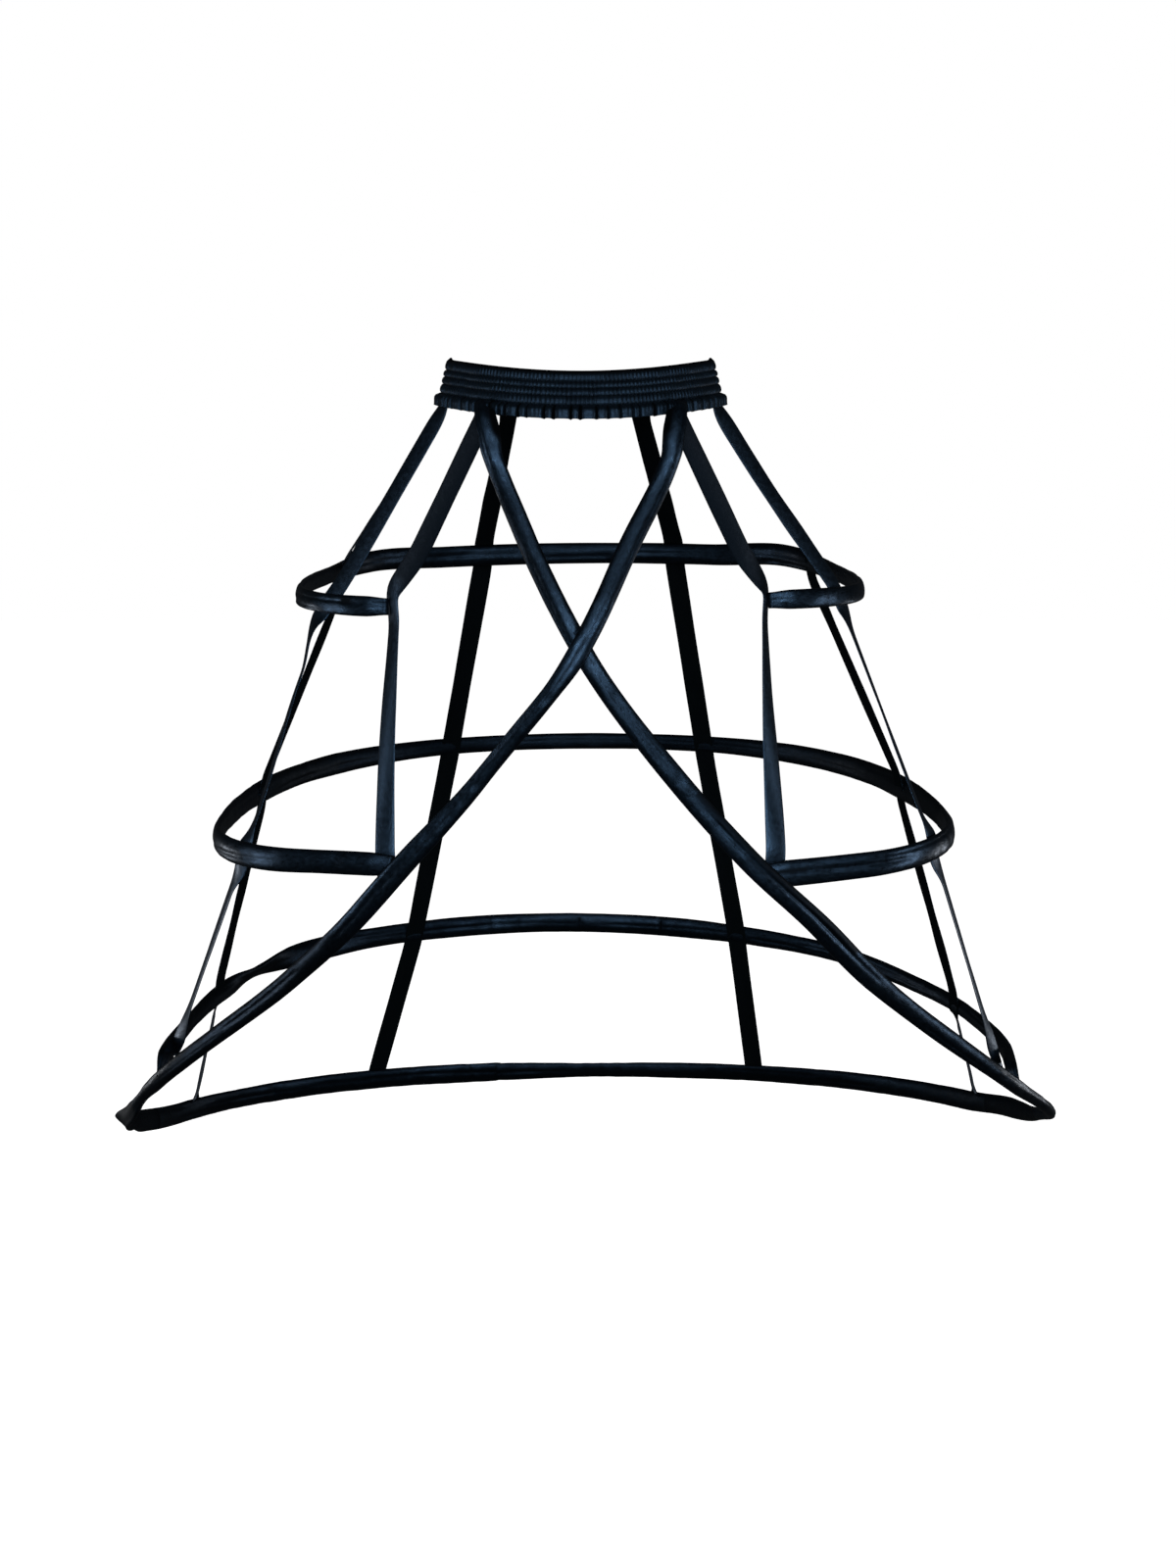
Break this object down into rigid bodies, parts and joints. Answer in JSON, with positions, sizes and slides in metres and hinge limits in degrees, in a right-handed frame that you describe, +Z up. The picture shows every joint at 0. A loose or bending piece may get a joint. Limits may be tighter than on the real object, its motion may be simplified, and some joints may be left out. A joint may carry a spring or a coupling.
{
  "type": "bustle cage",
  "caption": "Open-front bustle cage: a gathered waistband carries satin tapes, boned C-shaped hoops, and boned bands that cross at the front and turn round the back as a hem.",
  "frame": {"origin": "middle of the waist opening, level with the middle of the waistband's top edge", "axes": "+Z up through the waist opening, +X to the wearer's left, the open front faces -Y"},
  "size_m": [0.9214, 0.5809, 0.8138],
  "materials": {
    "waist_satin": "dark navy-black satin, shirred",
    "casing_satin": "dark navy-black satin over a flat bone",
    "tape_satin": "dark navy-black satin, folded and edge stitched",
    "bone": "woven plastic boning",
    "elastic": "woven elastic"
  },
  "bodies": {
    "root": {"waistband": "waist_satin", "waist_elastic": "elastic", "top_hoop_casing": "casing_satin", "top_hoop_bone": "bone", "middle_hoop_casing": "casing_satin", "middle_hoop_bone": "bone", "low_hoop_casing": "casing_satin", "low_hoop_bone": "bone", "cross_band_left": "casing_satin", "cross_band_left_bone": "bone", "cross_band_right": "casing_satin", "cross_band_right_bone": "bone", "front_tape_left": "tape_satin", "front_tape_right": "tape_satin", "side_tape_left": "tape_satin", "side_tape_right": "tape_satin", "side_back_tape_left": "tape_satin", "side_back_tape_right": "tape_satin", "back_tape_left": "tape_satin", "back_tape_right": "tape_satin"}
  },
  "joints": []
}
